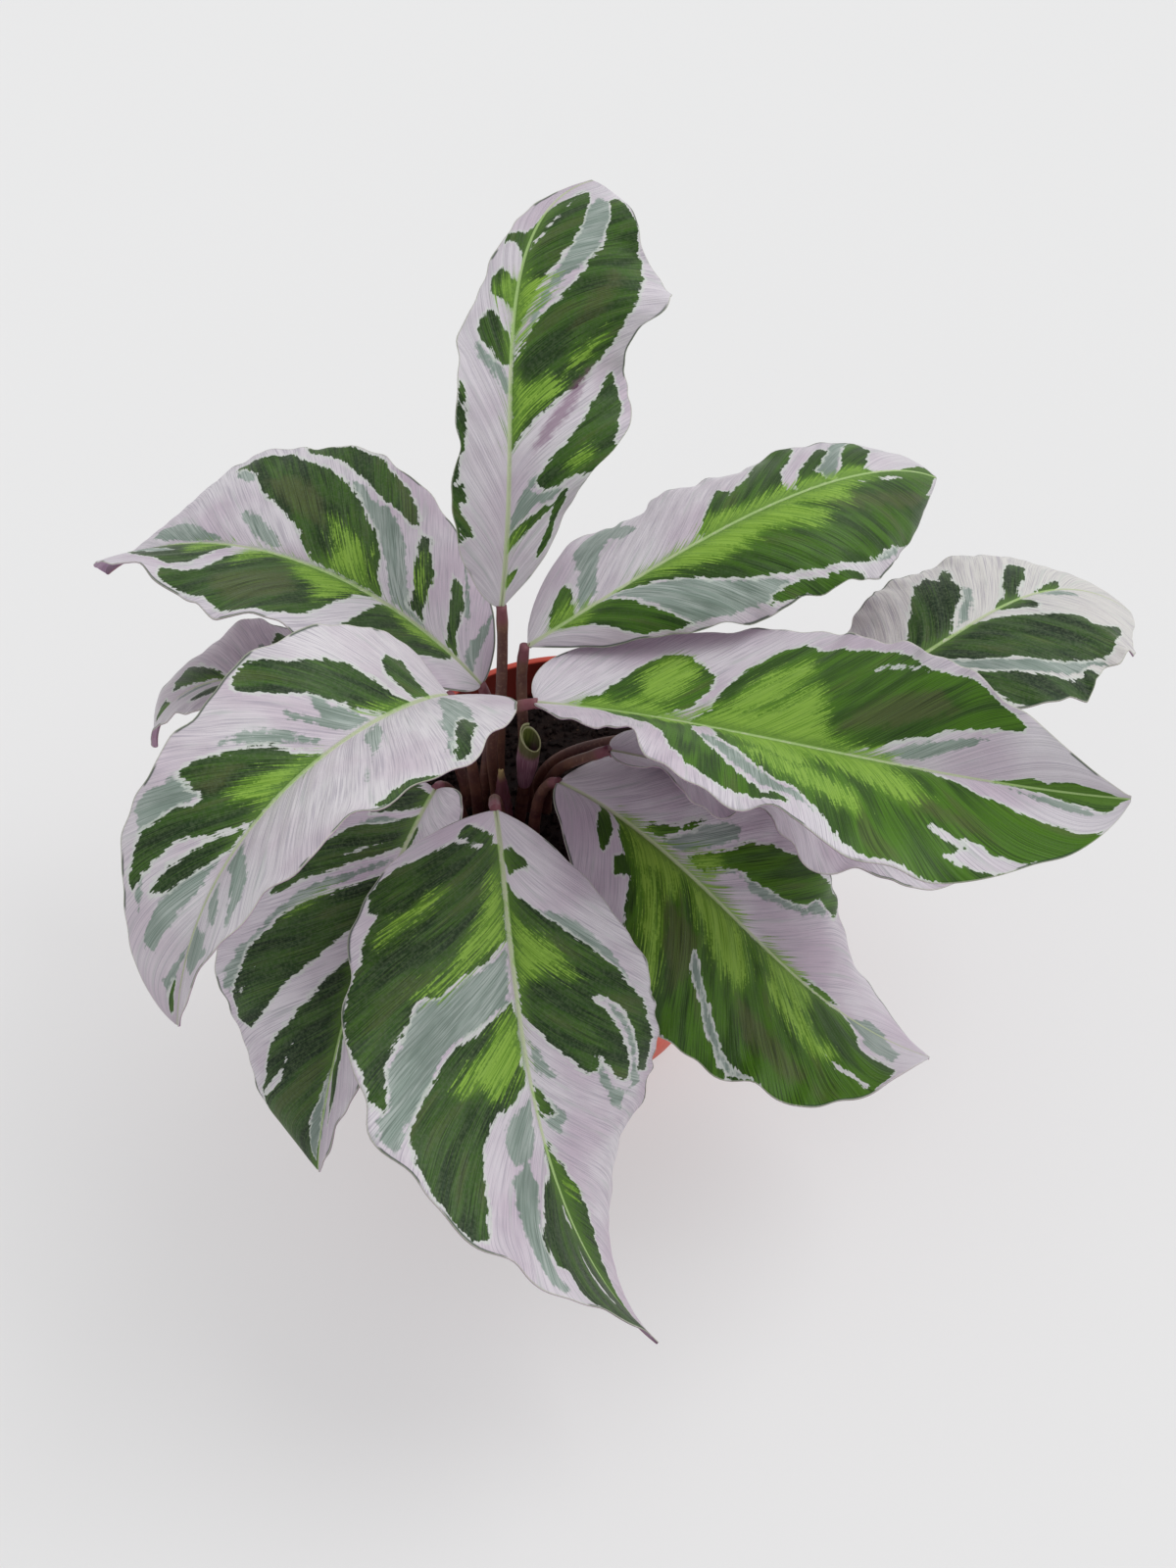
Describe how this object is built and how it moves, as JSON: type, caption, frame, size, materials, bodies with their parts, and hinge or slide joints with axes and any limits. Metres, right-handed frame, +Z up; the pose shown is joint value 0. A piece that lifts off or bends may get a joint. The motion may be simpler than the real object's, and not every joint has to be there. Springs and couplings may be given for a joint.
{
  "type": "potted prayer plant",
  "caption": "White-variegated prayer plant with eleven patterned leaves, a rolled new leaf and a sheath, in a 12 cm orange-red plastic pot.",
  "frame": {"origin": "centre of the pot's flat base, on the surface it stands on", "axes": "+Z up out of the pot, -Y towards the side that the picture shows"},
  "size_m": [0.3631, 0.296, 0.2856],
  "materials": {
    "pot": "satin",
    "soil": "matte",
    "blade": "satin",
    "stalk": "satin",
    "new_leaf": "satin",
    "sheath": "matte"
  },
  "bodies": {
    "root": {"pot": "pot", "soil": "soil", "leaf_back": "blade", "leaf_back_left": "blade", "leaf_back_right": "blade", "leaf_right": "blade", "leaf_far_right": "blade", "leaf_left": "blade", "leaf_front_left": "blade", "leaf_front": "blade", "leaf_front_right": "blade", "leaf_low_left": "blade", "leaf_low_right": "blade", "stalk_back": "stalk", "stalk_back_left": "stalk", "stalk_back_right": "stalk", "stalk_right": "stalk", "stalk_far_right": "stalk", "stalk_left": "stalk", "stalk_front_left": "stalk", "stalk_front": "stalk", "stalk_front_right": "stalk", "stalk_low_left": "stalk", "stalk_low_right": "stalk", "new_leaf": "new_leaf", "sheath": "sheath"}
  },
  "joints": []
}
